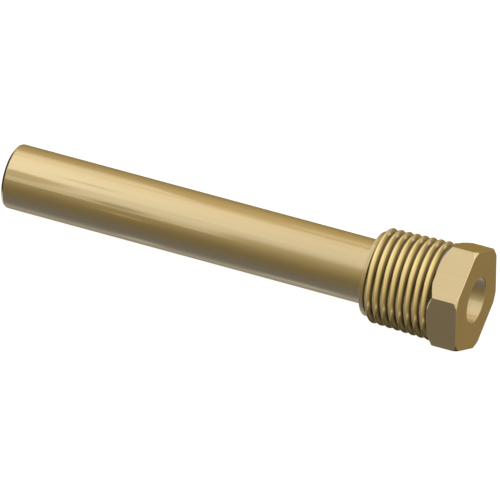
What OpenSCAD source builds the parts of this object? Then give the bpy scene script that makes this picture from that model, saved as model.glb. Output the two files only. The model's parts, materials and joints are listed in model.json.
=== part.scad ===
// Thermowell: a pocket that screws into a pipe and holds a temperature sensor in the flow.
// It is turned from one hexagonal brass bar, so it is one solid. All sizes are millimetres.
// The axis is X. The origin is the centre of the bore's mouth, and +X points out of it.

/* [Stem] */
// Outside diameter of the stem
stem_d = 14; // [12:0.5:17]
// Length from the underside of the hexagon to the tip
insertion_len = 100; // [40:1:250]
// Radius of the rounded edge at the tip
tip_round = 0.8; // [0.2:0.1:2]
// Radius of the fillet where the stem meets the collar
stem_fillet = 0.4; // [0.1:0.1:0.6]

/* [Bore] */
// Diameter of the blind bore that takes the sensor
bore_d = 10; // [5:0.1:10.6]
// Solid metal left between the drill point and the tip
tip_wall = 3; // [1.5:0.5:8]
// Included angle of the drill point
drill_angle = 118; // [90:1:140]
// Width of the chamfer at the bore's mouth
mouth_chamfer = 0.1; // [0.1:0.05:1]

/* [Hexagon] */
// Width across the flats, which a spanner grips
hex_af = 21.4; // [21.4:0.1:27]
// Thickness of the hexagon along the axis
hex_len = 6.8; // [4:0.1:15]
// Diameter of the flat inside the front chamfer
front_flat_d = 23.2; // [18:0.1:24.5]
// Diameter of the flat inside the back chamfer
back_flat_d = 21.9; // [21.4:0.1:24.5]
// Slope of both chamfers, measured from the faces
chamfer_angle = 42; // [20:1:60]

/* [Thread] */
// Threads to the inch: 14 for a half-inch taper pipe thread
threads_per_inch = 14; // [11:1:19]
// Diameter over the crests at the gauge plane
gauge_d = 20.955; // [20:0.005:21.1]
// Distance from the small end of the thread to the gauge plane
gauge_len = 10; // [6.4:0.1:10]
// Length along the axis in which the diameter grows by one
taper_len = 16; // [12:1:40]
// Included angle between the flanks
flank_angle = 55; // [45:1:65]
// Length of the threaded section, from the collar's end face to the hexagon
thread_len = 16.2; // [10:0.1:30]
// Angle round the axis at which the ridge begins
thread_clock = 301; // [0:1:359]
// Distance from the collar's end face to the beginning of the ridge
thread_lead = 0.55; // [0.3:0.05:1.5]
// Part of a turn in which the ridge rises to its full height
rise_turn = 0.35; // [0.1:0.05:0.9]
// Length in which the groove runs out at the hexagon
runout_len = 0.6; // [0.2:0.1:2]

/* [Collar] */
// Diameter of the plain collar in front of the thread
collar_d = 18.3; // [17.9:0.1:19]
// Length of the collar
collar_len = 0.5; // [0.3:0.1:2]

/* [Hidden] */
$fn = 96;

total_len = hex_len + insertion_len;
stem_r = stem_d / 2;
bore_r = bore_d / 2;
collar_r = collar_d / 2;
front_flat_r = front_flat_d / 2;
back_flat_r = back_flat_d / 2;
// Axial place of the collar's end face, which is also the small end of the thread
small_end = -hex_len - thread_len;
// Pieces that become one metal overlap by this much inside it
sink = 0.5;

// Rounded thread form: a sharp triangle cut off by a sixth of its height at crest and root
pitch = 25.4 / threads_per_inch;
flank = flank_angle / 2;
sharp_h = pitch / 2 / tan(flank);
ridge_h = sharp_h * 2 / 3;
round_r = sharp_h / 6 * sin(flank) / (1 - sin(flank));
// Half width and drop of the arc at crest and root
arc_w = round_r * cos(flank);
arc_h = round_r * (1 - sin(flank));

// The ridge is a mesh that follows the helix: columns round the axis, rows along the thread
columns = 48;
row_steps = [0, arc_w, pitch / 2 - arc_w, pitch / 2, pitch / 2 + arc_w, pitch - arc_w];
rows_per_turn = len(row_steps);
// Slope of the lead-in that trims the ridge at the collar
lead_angle = 60;
// Depth to which the thread's ends are buried in the collar and the hexagon
bury = 0.15;
mesh_start = collar_len - bury;
mesh_end = thread_len + bury;
// Place of a crest at angle zero, counted from the small end, and the row that comes first
crest_zero = thread_lead - pitch * thread_clock / 360;
first_row = crest_zero + pitch * floor((mesh_start - crest_zero) / pitch - 1);
row_count = rows_per_turn * ceil((mesh_end - first_row) / pitch);

// Height of the ridge at a distance from the crest line
function ridge_form(off) =
    off < arc_w ? ridge_h - round_r + sqrt(round_r * round_r - off * off)
    : off > pitch / 2 - arc_w ? round_r - sqrt(round_r * round_r - pow(pitch / 2 - off, 2))
    : ridge_h - arc_h - (off - arc_w) / tan(flank);

// Radius over the crests at a distance from the small end
function crest_r(along) = gauge_d / 2 + (along - gauge_len) / taper_len / 2;

// Share of its full height that the ridge has after turning through an angle from its beginning
function rise(turned) = max(0, min(1, turned / rise_turn / 360));

// Radius of the thread's surface at a distance from the small end and an angle
function thread_r(along, angle) =
    let (
        from_zero = along - crest_zero - pitch * angle / 360,
        turn = round(from_zero / pitch),
        height = ridge_form(abs(from_zero - pitch * turn)) * rise(angle + 360 * turn - thread_clock),
        ridge = crest_r(along) - ridge_h + height,
        lead_in = collar_r - bury + (along - mesh_start) * tan(lead_angle),
        runout = crest_r(along) - ridge_h * min(1, max(0, (thread_len - along) / runout_len))
    )
    min(max(ridge, runout), lead_in);

// Distance of a mesh row from the small end, held between the mesh's ends
function row_place(column, row) =
    let (
        turns = floor(row / rows_per_turn),
        place = first_row + pitch * (column / columns + turns) + row_steps[row % rows_per_turn]
    )
    max(mesh_start, min(mesh_end, place));

function on_thread(column, row) =
    let (
        angle = 360 * column / columns,
        along = row_place(column, row),
        r = thread_r(along, angle)
    )
    [r * cos(angle), r * sin(angle), along];

// Index of a mesh point: past the last column the rows carry on one turn further
function point_at(column, row) =
    column < columns ? column * (row_count + 1) + row
    : min(row + rows_per_turn, row_count);

// Thread from its small end towards the hexagon, as one closed mesh about the Z axis
module thread_mesh() {
    ring = columns * (row_count + 1);
    core_r = stem_r;
    points = concat(
        [for (c = [0 : columns - 1]) for (r = [0 : row_count]) on_thread(c, r)],
        [[0, 0, mesh_start], [0, 0, mesh_end + sink]],
        [for (c = [0 : columns - 1])
            [core_r * cos(360 * c / columns), core_r * sin(360 * c / columns), mesh_end + sink]]
    );
    skin = [for (c = [0 : columns - 1]) for (r = [0 : row_count - 1]) each [
        [point_at(c, r), point_at(c, r + 1), point_at(c + 1, r + 1)],
        [point_at(c, r), point_at(c + 1, r + 1), point_at(c + 1, r)]
    ]];
    ends = [for (c = [0 : columns - 1]) each [
        [ring, point_at(c, 0), point_at(c + 1, 0)],
        [point_at(c, row_count), ring + 2 + c, ring + 2 + (c + 1) % columns],
        [point_at(c, row_count), ring + 2 + (c + 1) % columns, point_at(c + 1, row_count)],
        [ring + 1, ring + 2 + (c + 1) % columns, ring + 2 + c]
    ]];
    faces = [for (f = concat(skin, ends))
        if (points[f[0]] != points[f[1]] && points[f[1]] != points[f[2]] && points[f[2]] != points[f[0]]) f];
    polyhedron(points, faces);
}

// Stem with its rounded tip, the fillet under the collar, and the collar
module turned_body() {
    edge = min(tip_round, stem_r / 2);
    collar_end = small_end + collar_len;
    rotate_extrude() {
        translate([0, -total_len + edge]) square([stem_r, total_len - hex_len - edge]);
        translate([0, -total_len]) square([stem_r - edge, total_len - hex_len]);
        translate([stem_r - edge, -total_len + edge]) circle(edge);
        translate([0, small_end]) square([collar_r, collar_len]);
        difference() {
            translate([0, small_end - stem_fillet]) square([stem_r + stem_fillet, stem_fillet + collar_len / 2]);
            translate([stem_r + stem_fillet, small_end - stem_fillet]) circle(stem_fillet);
        }
    }
}

// Hexagon whose corners are turned back to a chamfer on both faces
module hexagon() {
    corner_r = hex_af / 2 / cos(30) + 1;
    front_drop = (corner_r - front_flat_r) * tan(chamfer_angle);
    back_drop = (corner_r - back_flat_r) * tan(chamfer_angle);
    intersection() {
        translate([0, 0, -hex_len]) rotate(30) cylinder(h = hex_len, d = hex_af / cos(30), $fn = 6);
        rotate_extrude() polygon([
            [0, 0],
            [front_flat_r, 0],
            [corner_r, -front_drop],
            [corner_r, -hex_len + back_drop],
            [back_flat_r, -hex_len],
            [0, -hex_len]
        ]);
    }
}

// Drilled bore with its conical end and the chamfer at its mouth
module bore_tool() {
    apex = -total_len + tip_wall;
    point_len = bore_r / tan(drill_angle / 2);
    clear = 1;
    rotate_extrude() polygon([
        [0, apex],
        [bore_r, apex + point_len],
        [bore_r, -mouth_chamfer],
        [bore_r + mouth_chamfer + clear, clear],
        [0, clear]
    ]);
}

module well_body() {
    color([0.80, 0.66, 0.38])
    rotate([0, 90, 0])
    difference() {
        union() {
            turned_body();
            hexagon();
            translate([0, 0, small_end]) thread_mesh();
        }
        bore_tool();
    }
}

well_body();
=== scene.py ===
import json
import math

import bmesh
import bpy
import numpy as np
from mathutils import Matrix, Vector


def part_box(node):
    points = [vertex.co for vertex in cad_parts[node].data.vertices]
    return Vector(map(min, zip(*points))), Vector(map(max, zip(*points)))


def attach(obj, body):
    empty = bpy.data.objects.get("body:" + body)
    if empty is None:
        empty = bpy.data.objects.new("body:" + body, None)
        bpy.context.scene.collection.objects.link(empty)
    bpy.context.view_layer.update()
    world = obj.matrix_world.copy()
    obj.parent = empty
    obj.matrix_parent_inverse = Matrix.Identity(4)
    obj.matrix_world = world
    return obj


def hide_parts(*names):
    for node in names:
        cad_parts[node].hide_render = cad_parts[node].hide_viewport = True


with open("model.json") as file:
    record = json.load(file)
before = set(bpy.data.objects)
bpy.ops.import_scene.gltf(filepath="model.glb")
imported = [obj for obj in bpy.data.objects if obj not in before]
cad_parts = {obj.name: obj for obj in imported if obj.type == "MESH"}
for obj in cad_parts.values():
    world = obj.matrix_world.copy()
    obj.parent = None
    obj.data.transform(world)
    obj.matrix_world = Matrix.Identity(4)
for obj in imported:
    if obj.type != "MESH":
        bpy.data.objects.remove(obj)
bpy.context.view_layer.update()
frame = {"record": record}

MM = 0.001
mounts = {mount["name"]: mount for mount in frame["record"]["mounts"]}

# Sizes in millimetres. The overall sizes and the bore come from the frame.
box_low, box_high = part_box("well_body")
total_len = (box_high.x - box_low.x) / MM
hex_af = (box_high.z - box_low.z) / MM
bore_r = mounts["sensor_bore"]["dims"]["r_mm"]
bore_len = mounts["sensor_bore"]["dims"]["length_mm"]

stem_r = 7.0
tip_round = 0.8
stem_fillet = 0.4
drill_angle = 118.0
mouth_chamfer = 0.1

hex_len = 6.8
# Half of the angle that one side of the hexagon takes up
half_side = 30
front_flat_r = 11.6
back_flat_r = 10.95
chamfer_angle = 42.0

thread_len = 16.2
# Place of the thread's small end, which is the collar's end face
small_end = -hex_len - thread_len
pitch = 25.4 / 14
gauge_r = 20.955 / 2
gauge_len = 10.0
taper_len = 16.0
flank = math.radians(55.0 / 2)
# Rounded thread form: a sharp triangle cut off by a sixth of its height at crest and root
sharp_h = pitch / 2 / math.tan(flank)
ridge_h = sharp_h * 2 / 3
thread_clock = 301.0
thread_lead = 0.55
rise_turn = 0.35
runout_len = 0.6
lead_angle = 60.0
collar_r = 9.15
collar_len = 0.5

# Radius that breaks each sharp outer edge, and the one along the hexagon's corners
edge_r = 0.10
corner_r = 0.14
# Distance of the extra rows that hold a surface flat beside an edge
hold = 0.04
# Rows of the mesh in each pitch of the thread
rows_per_pitch = 18
# Distances in metres under which points become one, and under which an edge is dissolved
merge_distance = 2e-7
shortest_edge = 1e-7
# Angle in degrees from which an edge is shaded sharp
sharp_angle = 40.0


# ---- Shape: one grid, with columns round the axis and rows along the section ----

def column_angles():
    """Angles round the axis in degrees, with extra columns where the hexagon's corners are rounded."""
    inner = (hex_af / 2 - corner_r) * math.tan(math.radians(half_side))
    arc_half = half_side - math.degrees(math.atan2(inner, hex_af / 2))
    from_corner = [0, arc_half / 2, arc_half, 2 * arc_half, *range(2, half_side, 2)]
    offsets = sorted({-off for off in from_corner} | set(from_corner) | {half_side})
    return np.array([(2 * side + 1) * half_side + off for side in range(6) for off in offsets])


def hexagon_radius(angles):
    """Distance from the axis to the hexagon with rounded corners, in each column."""
    off_corner = np.radians(np.abs(angles % (2 * half_side) - half_side))
    flat = hex_af / 2 / np.cos(math.radians(half_side) - off_corner)
    centre = (hex_af / 2 - corner_r) / math.cos(math.radians(half_side))
    aside = np.minimum(centre * np.sin(off_corner), corner_r)
    arc = centre * np.cos(off_corner) + np.sqrt(corner_r ** 2 - aside ** 2)
    return np.minimum(flat, np.where(aside < corner_r, arc, flat))


def arc_rows(centre_x, centre_r, start, end, steps, radius):
    """Rows of an arc. Its angles are in degrees, 0 along +X and 90 away from the axis."""
    turns = np.radians(np.linspace(start, end, steps))
    return [(centre_x + radius * math.cos(t), centre_r + radius * math.sin(t)) for t in turns]


def straight_rows(start, end, steps):
    """Rows between two points of the section, without the two points."""
    shares = np.linspace(0, 1, steps + 2)[1:-1]
    return [tuple(a + (b - a) * share for a, b in zip(start, end)) for share in shares]


def bore_rows():
    """From the drill point up the bore's wall and over the chamfer at its mouth."""
    wall_end = -mouth_chamfer - bore_len
    corner = (wall_end, bore_r)
    lip = (-mouth_chamfer, bore_r)
    rim = (0.0, bore_r + mouth_chamfer)
    apex = (wall_end - bore_r / math.tan(math.radians(drill_angle / 2)), 0.0)
    rows = [apex, *straight_rows(apex, corner, 5), corner, (wall_end + hold, bore_r)]
    rows += [*straight_rows(corner, lip, 24), (lip[0] - hold, bore_r), lip]
    rows += [rim, (0.0, rim[1] + hold)]
    return rows


def head_rows(outer):
    """From the outer face round the hexagon to its back face, with every edge broken by edge_r."""
    # Corners of the section moved inwards by edge_r, which are the centres of the broken edges
    slope = math.radians(chamfer_angle)
    inset = outer - edge_r
    shift = edge_r * math.tan(slope / 2)
    face_r = np.minimum(front_flat_r - shift, inset)
    rear_r = np.minimum(back_flat_r - shift, inset)
    front_x = -edge_r - (inset - face_r) * math.tan(slope)
    back_x = -hex_len + edge_r + (inset - rear_r) * math.tan(slope)
    tilt = chamfer_angle
    rows = straight_rows((0.0, bore_r + mouth_chamfer), (0.0, face_r), 5)
    rows += [(0.0, face_r - hold)]
    rows += arc_rows(-edge_r, face_r, 0, tilt, 4, edge_r)
    rows += arc_rows(front_x, inset, tilt, 90, 4, edge_r)
    side = ((front_x - hold, outer), (back_x + hold, outer))
    rows += [side[0], *straight_rows(*side, 6), side[1]]
    rows += arc_rows(back_x, inset, 90, 180 - tilt, 4, edge_r)
    rows += arc_rows(-hex_len + edge_r, rear_r, 180 - tilt, 180, 4, edge_r)
    return rows


def ridge_form(off):
    """Height of the rounded ridge over the groove's floor, by distance from its crest line."""
    round_r = sharp_h / 6 * math.sin(flank) / (1 - math.sin(flank))
    arc_w = round_r * math.cos(flank)
    arc_h = round_r * (1 - math.sin(flank))
    crest = ridge_h - round_r + np.sqrt(np.maximum(round_r ** 2 - off ** 2, 0))
    root = round_r - np.sqrt(np.maximum(round_r ** 2 - (pitch / 2 - off) ** 2, 0))
    side = ridge_h - arc_h - (off - arc_w) / math.tan(flank)
    return np.where(off < arc_w, crest, np.where(off > pitch / 2 - arc_w, root, side))


def thread_radius(along, angles, crest_zero):
    """Radius of the thread at distances from its small end, with its beginning and its runout."""
    from_zero = along - crest_zero - pitch * angles / 360
    turn = np.round(from_zero / pitch)
    form = ridge_form(np.abs(from_zero - pitch * turn))
    rise = np.clip((angles + 360 * turn - thread_clock) / rise_turn / 360, 0, 1)
    floor = gauge_r + (along - gauge_len) / taper_len / 2 - ridge_h
    runout = np.clip((along - thread_len) / runout_len + 1, 0, 1)
    lead_in = collar_r + (along - collar_len) * math.tan(math.radians(lead_angle))
    return np.minimum(floor + np.maximum(form * rise, ridge_h * runout), lead_in)


def thread_rows(angles):
    """Rows that follow the helix from the hexagon to the collar, held between the thread's ends."""
    crest_zero = thread_lead - pitch * thread_clock / 360
    begin = collar_len + hold / 2
    first = crest_zero + pitch * math.floor((begin - crest_zero) / pitch - 1)
    count = rows_per_pitch * math.ceil((thread_len - first) / pitch)
    rows = []
    for row in range(count, -1, -1):
        along = np.clip(first + pitch * (angles / 360 + row / rows_per_pitch), begin, thread_len)
        rows.append((along - thread_len - hex_len, thread_radius(along, angles, crest_zero)))
    return rows


def stem_rows():
    """From the collar over its end face, the fillet, the stem and the rounded tip to the axis."""
    collar_x = small_end + collar_len
    fillet_r = stem_r + stem_fillet
    tip_x = -total_len
    rows = [(collar_x, collar_r), (collar_x - hold, collar_r), (small_end + edge_r + hold, collar_r)]
    rows += arc_rows(small_end + edge_r, collar_r - edge_r, 90, 180, 5, edge_r)
    rows += straight_rows((small_end, collar_r - edge_r), (small_end, fillet_r), 5)
    rows += arc_rows(small_end - stem_fillet, fillet_r, 0, -90, 7, stem_fillet)
    rows += straight_rows((small_end - stem_fillet, stem_r), (tip_x + tip_round, stem_r), 40)
    rows += arc_rows(tip_x + tip_round, stem_r - tip_round, 90, 180, 10, tip_round)
    rows += straight_rows((tip_x, stem_r - tip_round), (tip_x, 0.0), 8)
    return [*rows, (tip_x, 0.0)]


def grid_faces(row_count, columns, thread_first, thread_last):
    """Quads between the rows and columns of the grid, with the last column joined to the first."""
    def place(row, column):
        # Beyond the last column a row of the thread carries on one pitch nearer the hexagon
        if column == columns and thread_first <= row < thread_last:
            return max(row - rows_per_pitch, thread_first) * columns
        return row * columns + column % columns

    return [(place(row, column), place(row, column + 1), place(row + 1, column + 1), place(row + 1, column))
            for row in range(row_count - 1) for column in range(columns)]


def clean_and_smooth(mesh):
    """Merge points that lie together, turn the faces outwards and shade smoothly between sharp edges."""
    work = bmesh.new()
    work.from_mesh(mesh)
    bmesh.ops.remove_doubles(work, verts=work.verts, dist=merge_distance)
    bmesh.ops.dissolve_degenerate(work, edges=work.edges, dist=shortest_edge)
    bmesh.ops.recalc_face_normals(work, faces=work.faces)
    work.to_mesh(mesh)
    work.free()
    mesh.shade_smooth()
    mesh.set_sharp_from_angle(angle=math.radians(sharp_angle))


def build_well():
    """The whole pocket as one closed mesh, in metres and in the part's own frame."""
    angles = column_angles()
    before = bore_rows() + head_rows(hexagon_radius(angles))
    thread = thread_rows(angles)
    rows = before + thread + stem_rows()
    x = np.array([np.broadcast_to(row[0], angles.shape) for row in rows])
    r = np.array([np.broadcast_to(row[1], angles.shape) for row in rows])
    turn = np.radians(angles)
    points = np.stack([x, r * np.sin(turn), -r * np.cos(turn)], axis=-1) * MM
    faces = grid_faces(len(rows), len(angles), len(before), len(before) + len(thread))
    mesh = bpy.data.meshes.new("well")
    mesh.from_pydata(points.reshape(-1, 3).tolist(), [], faces)
    clean_and_smooth(mesh)
    return mesh


def new_object(name, data):
    """New object, linked into the scene."""
    piece = bpy.data.objects.new(name, data)
    bpy.context.scene.collection.objects.link(piece)
    return piece


well = new_object("well", build_well())
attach(well, "root")
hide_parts("well_body")
# The pocket's gloss shows the studio and not the pocket itself
well.visible_glossy = False


# ---- Node helpers ----

def add_node(tree, kind, **settings):
    node = tree.nodes.new(kind)
    for name, value in settings.items():
        setattr(node, name, value)
    return node


def feed(tree, source, socket):
    """Link an output into a socket, or set the socket where the source is a plain value."""
    if isinstance(source, bpy.types.NodeSocket):
        tree.links.new(source, socket)
    else:
        socket.default_value = source


def math_node(tree, operation, *inputs, clamp=False):
    node = add_node(tree, "ShaderNodeMath", operation=operation, use_clamp=clamp)
    for source, socket in zip(inputs, node.inputs):
        feed(tree, source, socket)
    return node.outputs[0]


def product(tree, first, *others):
    for other in others:
        first = math_node(tree, "MULTIPLY", first, other)
    return first


def step_between(tree, value, start, end):
    """0 at the start and 1 at the end, with a soft step between. The start may be the higher one."""
    node = add_node(tree, "ShaderNodeMapRange", interpolation_type="SMOOTHSTEP")
    feed(tree, value, node.inputs["Value"])
    node.inputs["From Min"].default_value = start
    node.inputs["From Max"].default_value = end
    return node.outputs["Result"]


def region(tree, *steps):
    """Product of soft steps, each given as its value, start and end: 1 where they all are at their ends."""
    return product(tree, *(step_between(tree, *step) for step in steps))


def blend_colour(tree, share, first, second, how="MIX"):
    node = add_node(tree, "ShaderNodeMix", data_type="RGBA", blend_type=how)
    feed(tree, share, node.inputs["Factor"])
    feed(tree, first, node.inputs[6])
    feed(tree, second, node.inputs[7])
    return node.outputs[2]


def tinted(tree, share, light, tint):
    """The light, multiplied by the tint as far as the share goes."""
    return blend_colour(tree, share, light, blend_colour(tree, 1.0, light, (*tint, 1), "MULTIPLY"))


def ramp(tree, value, stops):
    """Colour ramp from (place, colour) pairs, with places from 0 to 1."""
    node = add_node(tree, "ShaderNodeValToRGB")
    elements = node.color_ramp.elements
    while len(elements) < len(stops):
        elements.new(0.5)
    for element, (place, colour) in zip(elements, stops):
        element.position = place
        element.color = (*colour, 1)
    feed(tree, value, node.inputs["Fac"])
    return node.outputs["Color"]


def stretched_noise(tree, parts, scales, detail, seed):
    """Noise from 0 to 1 whose features are longest where the scale is smallest."""
    joined = add_node(tree, "ShaderNodeCombineXYZ")
    for part, scale, socket in zip(parts, scales, joined.inputs):
        feed(tree, math_node(tree, "MULTIPLY", part, scale), socket)
    node = add_node(tree, "ShaderNodeTexNoise", noise_dimensions="4D")
    feed(tree, joined.outputs[0], node.inputs["Vector"])
    node.inputs["W"].default_value = seed
    node.inputs["Scale"].default_value = 1
    node.inputs["Detail"].default_value = detail
    return node.outputs["Fac"]


def coordinates(tree, kind):
    """The three parts of one kind of texture coordinate."""
    split = add_node(tree, "ShaderNodeSeparateXYZ")
    feed(tree, add_node(tree, "ShaderNodeTexCoord").outputs[kind], split.inputs[0])
    return split.outputs


def turn_angle(tree, y, z):
    """Direction round the pocket's axis, in degrees from straight up, positive on the +Y side."""
    return math_node(tree, "MULTIPLY", math_node(tree, "ARCTAN2", y, z), 180 / math.pi)


def emptied(block):
    """Node tree of a new material or world, without the nodes that it comes with."""
    block.use_nodes = True
    block.node_tree.nodes.clear()
    return block.node_tree


# ---- Material ----

# Colours of the plain surfaces and the thread's flanks, and the browner colour of the painted shade in the
# thread's grooves
METAL = (0.82, 0.63, 0.32, 1)
FLANKS = (0.86, 0.65, 0.29, 1)
GROOVE_SHADE = (0.86, 0.59, 0.19, 1)
# Share of its light that each dark place loses, as shade painted into its colour: the grooves, the bore far
# in, the edge at its mouth
groove_shade_strength = 0.86
bore_shade_strength = 0.93
mouth_shade_strength = 0.55
# Tone of the plain metal, and what the marks and the clouds add to it
plain_tone = 0.91
mark_tone = 0.10
cloud_tone = 0.08
# Roughness of the plain metal, and what the thread and the marks add to it
plain_rough = 0.08
thread_rough = 0.03
mark_rough = 0.07
# Height of the marks in mm
mark_height = 0.002


def place_on_part(tree):
    """Place in mm from the bore's mouth: along the axis, across it, upwards, and away from the axis."""
    along, across, up = (math_node(tree, "DIVIDE", part, MM) for part in coordinates(tree, "Object"))
    squares = math_node(tree, "MULTIPLY_ADD", across, across, math_node(tree, "MULTIPLY", up, up))
    return along, across, up, math_node(tree, "SQRT", squares)


def thread_shares(tree, along, radius):
    """1 on the thread, and 1 in its groove, where shade is painted."""
    crest = math_node(tree, "MULTIPLY_ADD", along, 0.5 / taper_len,
                      gauge_r - (small_end + gauge_len) / 2 / taper_len)
    # Depth in the groove, from 0 on the crests to 1 at the root
    depth = math_node(tree, "DIVIDE", math_node(tree, "SUBTRACT", crest, radius), ridge_h, clamp=True)
    on_thread = region(tree, (along, small_end + 0.7, small_end + 1.1), (along, -hex_len, -hex_len - 0.2),
                       (radius, stem_r - 0.5, stem_r + 1.0))
    return on_thread, product(tree, on_thread, step_between(tree, depth, 0.4, 0.95))


def bore_shade_shares(tree, along, radius):
    """Where shade is painted: 1 in the bore far in, and 1 on the edge at its mouth."""
    # Painted shade, darker the deeper it lies in the bore
    painted_bore_shade = region(tree, (radius, bore_r + 0.08, bore_r + 0.02), (along, -1.5, -10.0),
                    (along, -total_len + 1.0, -total_len + 1.5))
    # Painted shade on the edge at the bore's mouth, which dulls its bright rim
    painted_mouth_shade = region(tree, (along, -0.15, -0.05), (radius, bore_r, bore_r + 0.03),
                      (radius, bore_r + 0.14, bore_r + 0.08))
    return painted_bore_shade, painted_mouth_shade


def tool_marks(tree, along, across, up, radius):
    """Marks of the drawn bar along the axis, and of the facing tool round it on the end faces."""
    drawn = stretched_noise(tree, (along, across, up), (0.045, 1.5, 1.5), detail=4, seed=3.0)
    rings = stretched_noise(tree, (radius, along, along), (7.0, 0.1, 0.1), detail=3, seed=5.0)
    on_ends = math_node(tree, "ADD", step_between(tree, along, -0.12, -0.04),
                        step_between(tree, along, -total_len + 0.1, -total_len + 0.02), clamp=True)
    marks = add_node(tree, "ShaderNodeMix", data_type="FLOAT")
    for source, socket in ((on_ends, 0), (drawn, 2), (rings, 3)):
        feed(tree, source, marks.inputs[socket])
    return marks.outputs[0]


def brass():
    mat = bpy.data.materials.new("brass")
    mat.use_nodes = True
    tree = mat.node_tree
    shader = tree.nodes["Principled BSDF"]
    shader.inputs["Metallic"].default_value = 1

    along, across, up, radius = place_on_part(tree)
    on_thread, painted_groove_shade = thread_shares(tree, along, radius)
    painted_bore_shade, painted_mouth_shade = bore_shade_shares(tree, along, radius)
    marks = tool_marks(tree, along, across, up, radius)
    cloudy = stretched_noise(tree, (along, across, up), (0.05, 0.12, 0.12), detail=2, seed=8.0)

    shade = math_node(tree, "MULTIPLY_ADD", cloudy, cloud_tone, plain_tone)
    shade = math_node(tree, "MULTIPLY_ADD", marks, mark_tone, shade)
    # Painted shade: the grooves, the bore far in and the edge at its mouth each darken the colour
    for share, loss in ((painted_groove_shade, groove_shade_strength), (painted_bore_shade, bore_shade_strength), (painted_mouth_shade, mouth_shade_strength)):
        shade = product(tree, shade, math_node(tree, "MULTIPLY_ADD", share, -loss, 1.0))
    body = blend_colour(tree, on_thread, METAL, FLANKS)
    # The painted shade in the grooves is browner as well
    body = blend_colour(tree, painted_groove_shade, body, GROOVE_SHADE)
    feed(tree, blend_colour(tree, 1.0, body, shade, "MULTIPLY"), shader.inputs["Base Color"])
    rough = math_node(tree, "MULTIPLY_ADD", on_thread, thread_rough, plain_rough)
    feed(tree, math_node(tree, "MULTIPLY_ADD", marks, mark_rough, rough), shader.inputs["Roughness"])
    bump = add_node(tree, "ShaderNodeBump")
    bump.inputs["Distance"].default_value = mark_height * MM
    feed(tree, marks, bump.inputs["Height"])
    feed(tree, bump.outputs["Normal"], shader.inputs["Normal"])
    return mat


well.data.materials.append(brass())

# ---- Camera ----

view_azimuth = 43.5
view_elevation = 62.0
view_roll = -24.8
lens = 1000.0
sensor = 36.0
frame_width = 105.44
# Point at the middle of the picture, to the camera's right, up and back from the bore's mouth, in mm
aim_right, aim_up, aim_back = -47.43, 10.62, -17.3


def place_camera():
    azimuth, elevation, roll = (math.radians(angle) for angle in (view_azimuth, view_elevation, view_roll))
    back = Vector((math.sin(azimuth) * math.cos(elevation),
                   -math.cos(azimuth) * math.cos(elevation), math.sin(elevation)))
    level = Vector((math.cos(azimuth), math.sin(azimuth), 0))
    right = level * math.cos(roll) + back.cross(level) * math.sin(roll)
    up = back.cross(right)
    data = bpy.data.cameras.new("camera")
    data.lens = lens
    data.sensor_width = sensor
    data.clip_start = 0.1
    data.clip_end = 20
    camera = new_object("camera", data)
    aim = (right * aim_right + up * aim_up + back * aim_back) * MM
    distance = lens * frame_width / sensor * MM
    turn = Matrix((right, up, back)).transposed().to_4x4()
    camera.matrix_world = Matrix.Translation(aim + back * distance) @ turn
    bpy.context.scene.camera = camera


place_camera()

# ---- Studio ----

# Light that reaches the pocket from round its axis: degrees from straight up, positive on the +Y side
ROUND_AXIS = [
    (-180, (0.30, 0.30, 0.30)),
    (-165, (0.34, 0.35, 0.37)),
    (-152, (0.38, 0.40, 0.46)),
    (-140, (0.26, 0.28, 0.37)),
    (-125, (0.19, 0.21, 0.29)),
    (-100, (0.19, 0.19, 0.21)),
    (-80, (0.20, 0.19, 0.15)),
    (-64, (0.25, 0.22, 0.16)),
    (-46, (0.34, 0.32, 0.25)),
    (-40, (0.40, 0.37, 0.28)),
    (-28, (0.46, 0.45, 0.38)),
    (-14, (0.72, 0.74, 0.80)),
    (0, (0.79, 0.81, 0.89)),
    (28, (0.84, 0.85, 0.91)),
    (50, (0.82, 0.81, 0.84)),
    (62, (0.63, 0.58, 0.46)),
    (80, (0.60, 0.52, 0.38)),
    (110, (0.44, 0.39, 0.26)),
    (140, (0.31, 0.23, 0.08)),
    (180, (0.30, 0.26, 0.18)),
]

# Light that reaches the pocket from the side of its head, by the sine of its height
HEAD_SIDE = [
    (-1.0, (0.28, 0.23, 0.12)),
    (-0.70, (0.30, 0.25, 0.16)),
    (-0.64, (0.32, 0.30, 0.24)),
    (-0.62, (0.80, 0.79, 0.75)),
    (-0.59, (0.80, 0.79, 0.75)),
    (-0.57, (0.33, 0.30, 0.23)),
    (-0.45, (0.38, 0.34, 0.24)),
    (-0.25, (0.80, 0.78, 0.70)),
    (0.2, (0.90, 0.90, 0.85)),
    (0.6, (1.15, 1.10, 0.95)),
    (1.0, (1.15, 1.12, 1.00)),
]


def round_axis_light(tree, turn):
    """Colour of the studio at a direction round the pocket's axis."""
    place = math_node(tree, "MULTIPLY_ADD", turn, 1 / 360, 0.5)
    return ramp(tree, place, [(angle / 360 + 0.5, colour) for angle, colour in ROUND_AXIS])


def with_tip_side(tree, light, x, y, z):
    """The light with what lies beyond the tip, where x, y and z point towards the light."""
    # Low down it is pale, and lights the tip's rim and end face
    low_down = region(tree, (x, -0.50, -0.66), (z, 0.0, -0.25))
    light = blend_colour(tree, low_down, light, (0.76, 0.80, 0.90, 1))
    # Low over the stem it is dim, as the thread's flanks show it
    over_stem = region(tree, (x, -0.72, -0.82), (y, -0.04, -0.12), (z, -0.05, 0.05))
    light = blend_colour(tree, over_stem, light, (0.08, 0.07, 0.055, 1))
    # Steeply down and a little to the far side it is dark, which keeps the grooves' tip sides dark
    below = region(tree, (x, -0.38, -0.56), (z, -0.50, -0.65), (y, 0.10, 0.22), (y, 0.55, 0.42))
    return blend_colour(tree, below, light, (0.015, 0.015, 0.015, 1))


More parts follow.
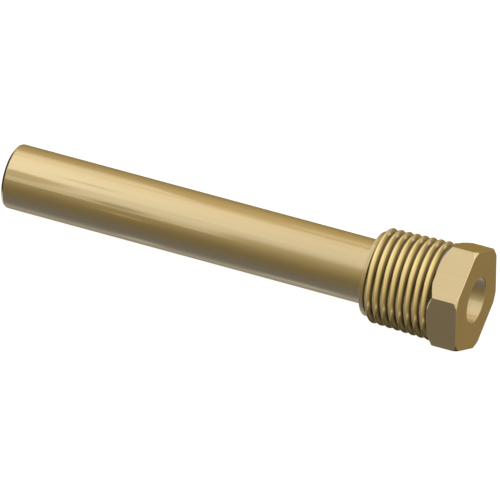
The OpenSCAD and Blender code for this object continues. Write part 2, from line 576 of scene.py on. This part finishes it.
def with_head_side(tree, light, x, y, z):
    """The light with what lies beyond the head: the tones by height, and tints on them."""
    at_head = (x, -0.2, 0.25)
    height = math_node(tree, "MULTIPLY_ADD", z, 0.5, 0.5)
    tones = ramp(tree, height, [(level / 2 + 0.5, colour) for level, colour in HEAD_SIDE])
    light = blend_colour(tree, region(tree, at_head), light, tones)
    # Darker on the near side and low down, and brighter on the far side
    near = region(tree, at_head, (y, 0.0, -0.85))
    far = region(tree, at_head, (y, 0.05, 0.35), (z, -0.78, -0.62))
    low_down = region(tree, (x, -0.31, -0.22), (y, 0.22, -0.02), (z, -0.60, -0.72))
    under = product(tree, low_down, step_between(tree, x, 0.46, 0.26))
    tints = ((near, (0.45, 0.45, 0.45)), (far, (1.25, 1.28, 1.38)),
             (low_down, (0.46, 0.52, 0.64)), (under, (0.40, 0.40, 0.40)))
    for share, tint in tints:
        light = tinted(tree, share, light, tint)
    return light


def build_world():
    world = bpy.data.worlds.new("studio")
    bpy.context.scene.world = world
    tree = emptied(world)
    x, y, z = coordinates(tree, "Generated")
    turn = turn_angle(tree, y, z)
    light = round_axis_light(tree, turn)
    # The bore's mouth shows the far side a little paler than the stem does
    far = region(tree, (turn, 50, 62), (turn, 100, 75))
    light = blend_colour(tree, far, light, (0.71, 0.69, 0.65, 1))
    light = with_tip_side(tree, light, x, y, z)
    light = with_head_side(tree, light, x, y, z)
    # The camera itself sees plain white
    seen = add_node(tree, "ShaderNodeLightPath").outputs["Is Camera Ray"]
    colour = blend_colour(tree, seen, light, (1, 1, 1, 1))
    background = add_node(tree, "ShaderNodeBackground")
    feed(tree, colour, background.inputs["Color"])
    output = add_node(tree, "ShaderNodeOutputWorld")
    feed(tree, background.outputs[0], output.inputs["Surface"])


build_world()
bpy.context.scene.view_settings.view_transform = "Standard"

# The floor is a disc: its radius in metres and its number of sides
floor_r = 3.0
floor_sides = 64
# Rough slope of the lying pocket, by which the lowest point of its tip is found
rough_slope = 0.04
# Distances in metres: from the mouth to the points looked at for the tip, and from the tip to the others
tip_from = 0.1
tip_reach = 0.02


def rest_plane():
    """Lowest point of the tip, and slope of the plane that touches it and the head from below."""
    points = [vertex.co for vertex in well.data.vertices]
    at_tip = [point for point in points if point.x < -tip_from]
    tip = min(at_tip, key=lambda point: point.z + rough_slope * point.x)
    slope = max((tip.z - point.z) / (point.x - tip.x) for point in points if point.x > tip.x + tip_reach)
    return tip, slope


def floor_material():
    """Near white, and partly its own light, so that it looks like the background."""
    mat = bpy.data.materials.new("floor")
    mat.use_nodes = True
    shader = mat.node_tree.nodes["Principled BSDF"]
    shader.inputs["Base Color"].default_value = (0.25, 0.25, 0.25, 1)
    shader.inputs["Roughness"].default_value = 1
    shader.inputs["Emission Color"].default_value = (1, 1, 1, 1)
    shader.inputs["Emission Strength"].default_value = 0.92
    return mat


def build_floor():
    turns = [2 * math.pi * side / floor_sides for side in range(floor_sides)]
    ring = [(floor_r * math.cos(turn), floor_r * math.sin(turn), 0) for turn in turns]
    mesh = bpy.data.meshes.new("floor")
    mesh.from_pydata(ring, [], [tuple(range(floor_sides))])
    mesh.materials.append(floor_material())
    tip, slope = rest_plane()
    floor = new_object("floor", mesh)
    floor.location = (tip.x, 0, tip.z)
    floor.rotation_euler = (0, math.atan(slope), 0)
    floor.visible_glossy = False


build_floor()

# ---- Surfaces that only the pocket's gloss sees ----

# Each is a band about the pocket's axis, between two rims given as place and radius in mm, with its sides
# in degrees from straight up. The screen is part of a round tube over the stem.
screen_rims = [(-180.0, 120.0), (-42.0, 120.0)]
screen_sides = (-184.0, 100.0)

# Part of a dim cone, which keeps the screen's light off the thread's underside
thread_flag_rims = [(-22.6, 10.5), (-43.0, 70.0)]
thread_flag_sides = (-178.0, -118.0)
thread_flag_glow = (0.26, 0.25, 0.215, 1)

# Dim tube inside the stem's skin: the thread reflects it where a real one reflects the stem
stand_in_rims = [(-104.0, 6.8), (-22.8, 6.8)]
stand_in_sides = (-180.0, 180.0)
stand_in_glow = (0.06, 0.052, 0.04, 1)

# Dim part of a ring in front of the tip's upper edge, and the sides between which it doesn't fade
tip_flag_rims = [(-108.4, 5.7), (-108.4, 9.2)]
tip_flag_sides = (-84.0, 52.0)
tip_flag_full = (-54.0, 20.0)
tip_flag_glow = (0.045, 0.043, 0.04, 1)

# Marks on the screen: middle and half length along the axis, middle and half width round it, and tint
SCREEN_MARKS = [
    (-148.0, 20.0, -14.0, 14.0, (0.74, 0.68, 0.55)),
    (-119.6, 7.5, -31.0, 7.0, (0.62, 0.60, 0.58)),
    (-127.8, 7.5, 16.0, 3.4, (0.78, 0.76, 0.70)),
    (-118.3, 6.0, -56.5, 4.0, (1.60, 1.60, 1.60)),
    (-70.0, 15.0, 71.0, 10.0, (1.15, 1.20, 1.35)),
    (-115.5, 6.0, -144.0, 9.0, (1.45, 1.45, 1.45)),
    (-77.0, 12.0, -144.0, 9.0, (1.40, 1.40, 1.40)),
]


def reflector(name, material, sides, rims, steps):
    """A glowing band about the pocket's axis, made of flat strips, that only gloss sees."""
    turns = np.radians(np.linspace(*sides, steps + 1))
    points = [(x * MM, r * MM * math.sin(t), r * MM * math.cos(t)) for t in turns for x, r in rims]
    strips = [(2 * i, 2 * i + 1, 2 * i + 3, 2 * i + 2) for i in range(steps)]
    mesh = bpy.data.meshes.new(name)
    mesh.from_pydata(points, [], strips)
    mesh.materials.append(material)
    piece = new_object(name, mesh)
    piece.visible_camera = False
    piece.visible_diffuse = False
    piece.visible_shadow = False
    piece.visible_transmission = False


def glow_material(name):
    """Material that only glows, with its node tree and its Emission node."""
    mat = bpy.data.materials.new(name)
    tree = emptied(mat)
    glow = add_node(tree, "ShaderNodeEmission")
    feed(tree, glow.outputs[0], add_node(tree, "ShaderNodeOutputMaterial").inputs["Surface"])
    return mat, tree, glow


def with_cards(tree, light, along, turn):
    """The screen's light with a part from above and two cool cards added."""
    # From above it grows between two places along the axis, towards the tip
    start, full = -66.0, -143.0
    growth = math_node(tree, "MULTIPLY_ADD", along, 1 / (full - start), -start / (full - start), clamp=True)
    above = product(tree, region(tree, (turn, -12, 2), (turn, 72, 60)), growth)
    # One card is low on the near side
    near = region(tree, (turn, -41, -37.5), (turn, -3, -28), (along, -91, -97.5))
    # One is over the far edge. Its end is cut at a slant, in mm a degree from the middle of its width.
    slant, middle = 0.6, 68.0
    cut = math_node(tree, "MULTIPLY_ADD", turn, slant, math_node(tree, "ADD", along, -slant * middle))
    far = region(tree, (turn, 56, 66), (turn, 86, 72), (cut, -105, -112))
    # All of them fade out before the screen ends beyond the tip
    inside = step_between(tree, along, -178, -158)
    cards = ((above, (0.19, 0.22, 0.27, 1)), (near, (0.19, 0.23, 0.31, 1)), (far, (0.20, 0.25, 0.38, 1)))
    for share, colour in cards:
        card = blend_colour(tree, 1.0, colour, product(tree, share, inside), "MULTIPLY")
        light = blend_colour(tree, 1.0, light, card, "ADD")
    return light


def with_marks(tree, light, along, turn):
    """The light with the marks, each a tint with pointed ends that is full in its middle."""
    for middle, half_len, turn_middle, half_width, tint in SCREEN_MARKS:
        off = math_node(tree, "MULTIPLY_ADD", along, 1 / half_len, -middle / half_len)
        aside = math_node(tree, "MULTIPLY_ADD", turn, 1 / half_width, -turn_middle / half_width)
        spread = math_node(tree, "MULTIPLY_ADD", off, off, math_node(tree, "MULTIPLY", aside, aside))
        light = tinted(tree, step_between(tree, spread, 1.0, 0.35), light, tint)
    return light


def screen_material():
    mat, tree, glow = glow_material("screen")
    x, y, z = coordinates(tree, "Object")
    along = math_node(tree, "DIVIDE", x, MM)
    turn = turn_angle(tree, y, z)
    light = with_cards(tree, round_axis_light(tree, turn), along, turn)
    light = with_marks(tree, light, along, turn)
    # Over the collar it is brighter at the sides, and over the thread it is darker low down
    sides = math_node(tree, "ADD", step_between(tree, turn, -75, -95), step_between(tree, turn, 35, 55))
    collar = product(tree, sides, region(tree, (along, -62.5, -61.5), (along, -59, -60)))
    light = tinted(tree, collar, light, (1.3, 1.35, 1.5))
    below = region(tree, (turn, -122, -168), (along, -61, -52))
    light = tinted(tree, below, light, (0.35, 0.33, 0.27))
    feed(tree, light, glow.inputs["Color"])
    return mat


def thread_flag_material():
    """Dim, and dimmest straight below."""
    mat, tree, glow = glow_material("thread_flag")
    _, y, z = coordinates(tree, "Object")
    aside = step_between(tree, turn_angle(tree, y, z), -166, -136)
    feed(tree, thread_flag_glow, glow.inputs["Color"])
    feed(tree, math_node(tree, "MULTIPLY_ADD", aside, 0.7, 0.3), glow.inputs["Strength"])
    return mat


def stand_in_material():
    mat, tree, glow = glow_material("stem_stand_in")
    feed(tree, stand_in_glow, glow.inputs["Color"])
    return mat


def tip_flag_material():
    """Dim, with both ends faded out."""
    mat, tree, glow = glow_material("tip_flag")
    feed(tree, tip_flag_glow, glow.inputs["Color"])
    _, y, z = coordinates(tree, "Object")
    turn = turn_angle(tree, y, z)
    share = region(tree, *((turn, side, full) for side, full in zip(tip_flag_sides, tip_flag_full)))
    mix = add_node(tree, "ShaderNodeMixShader")
    feed(tree, share, mix.inputs["Fac"])
    feed(tree, add_node(tree, "ShaderNodeBsdfTransparent").outputs[0], mix.inputs[1])
    feed(tree, glow.outputs[0], mix.inputs[2])
    feed(tree, mix.outputs[0], tree.nodes["Material Output"].inputs["Surface"])
    return mat


reflector("screen", screen_material(), screen_sides, screen_rims, 48)
reflector("thread_flag", thread_flag_material(), thread_flag_sides, thread_flag_rims, 16)
reflector("stem_stand_in", stand_in_material(), stand_in_sides, stand_in_rims, 48)
reflector("tip_flag", tip_flag_material(), tip_flag_sides, tip_flag_rims, 24)
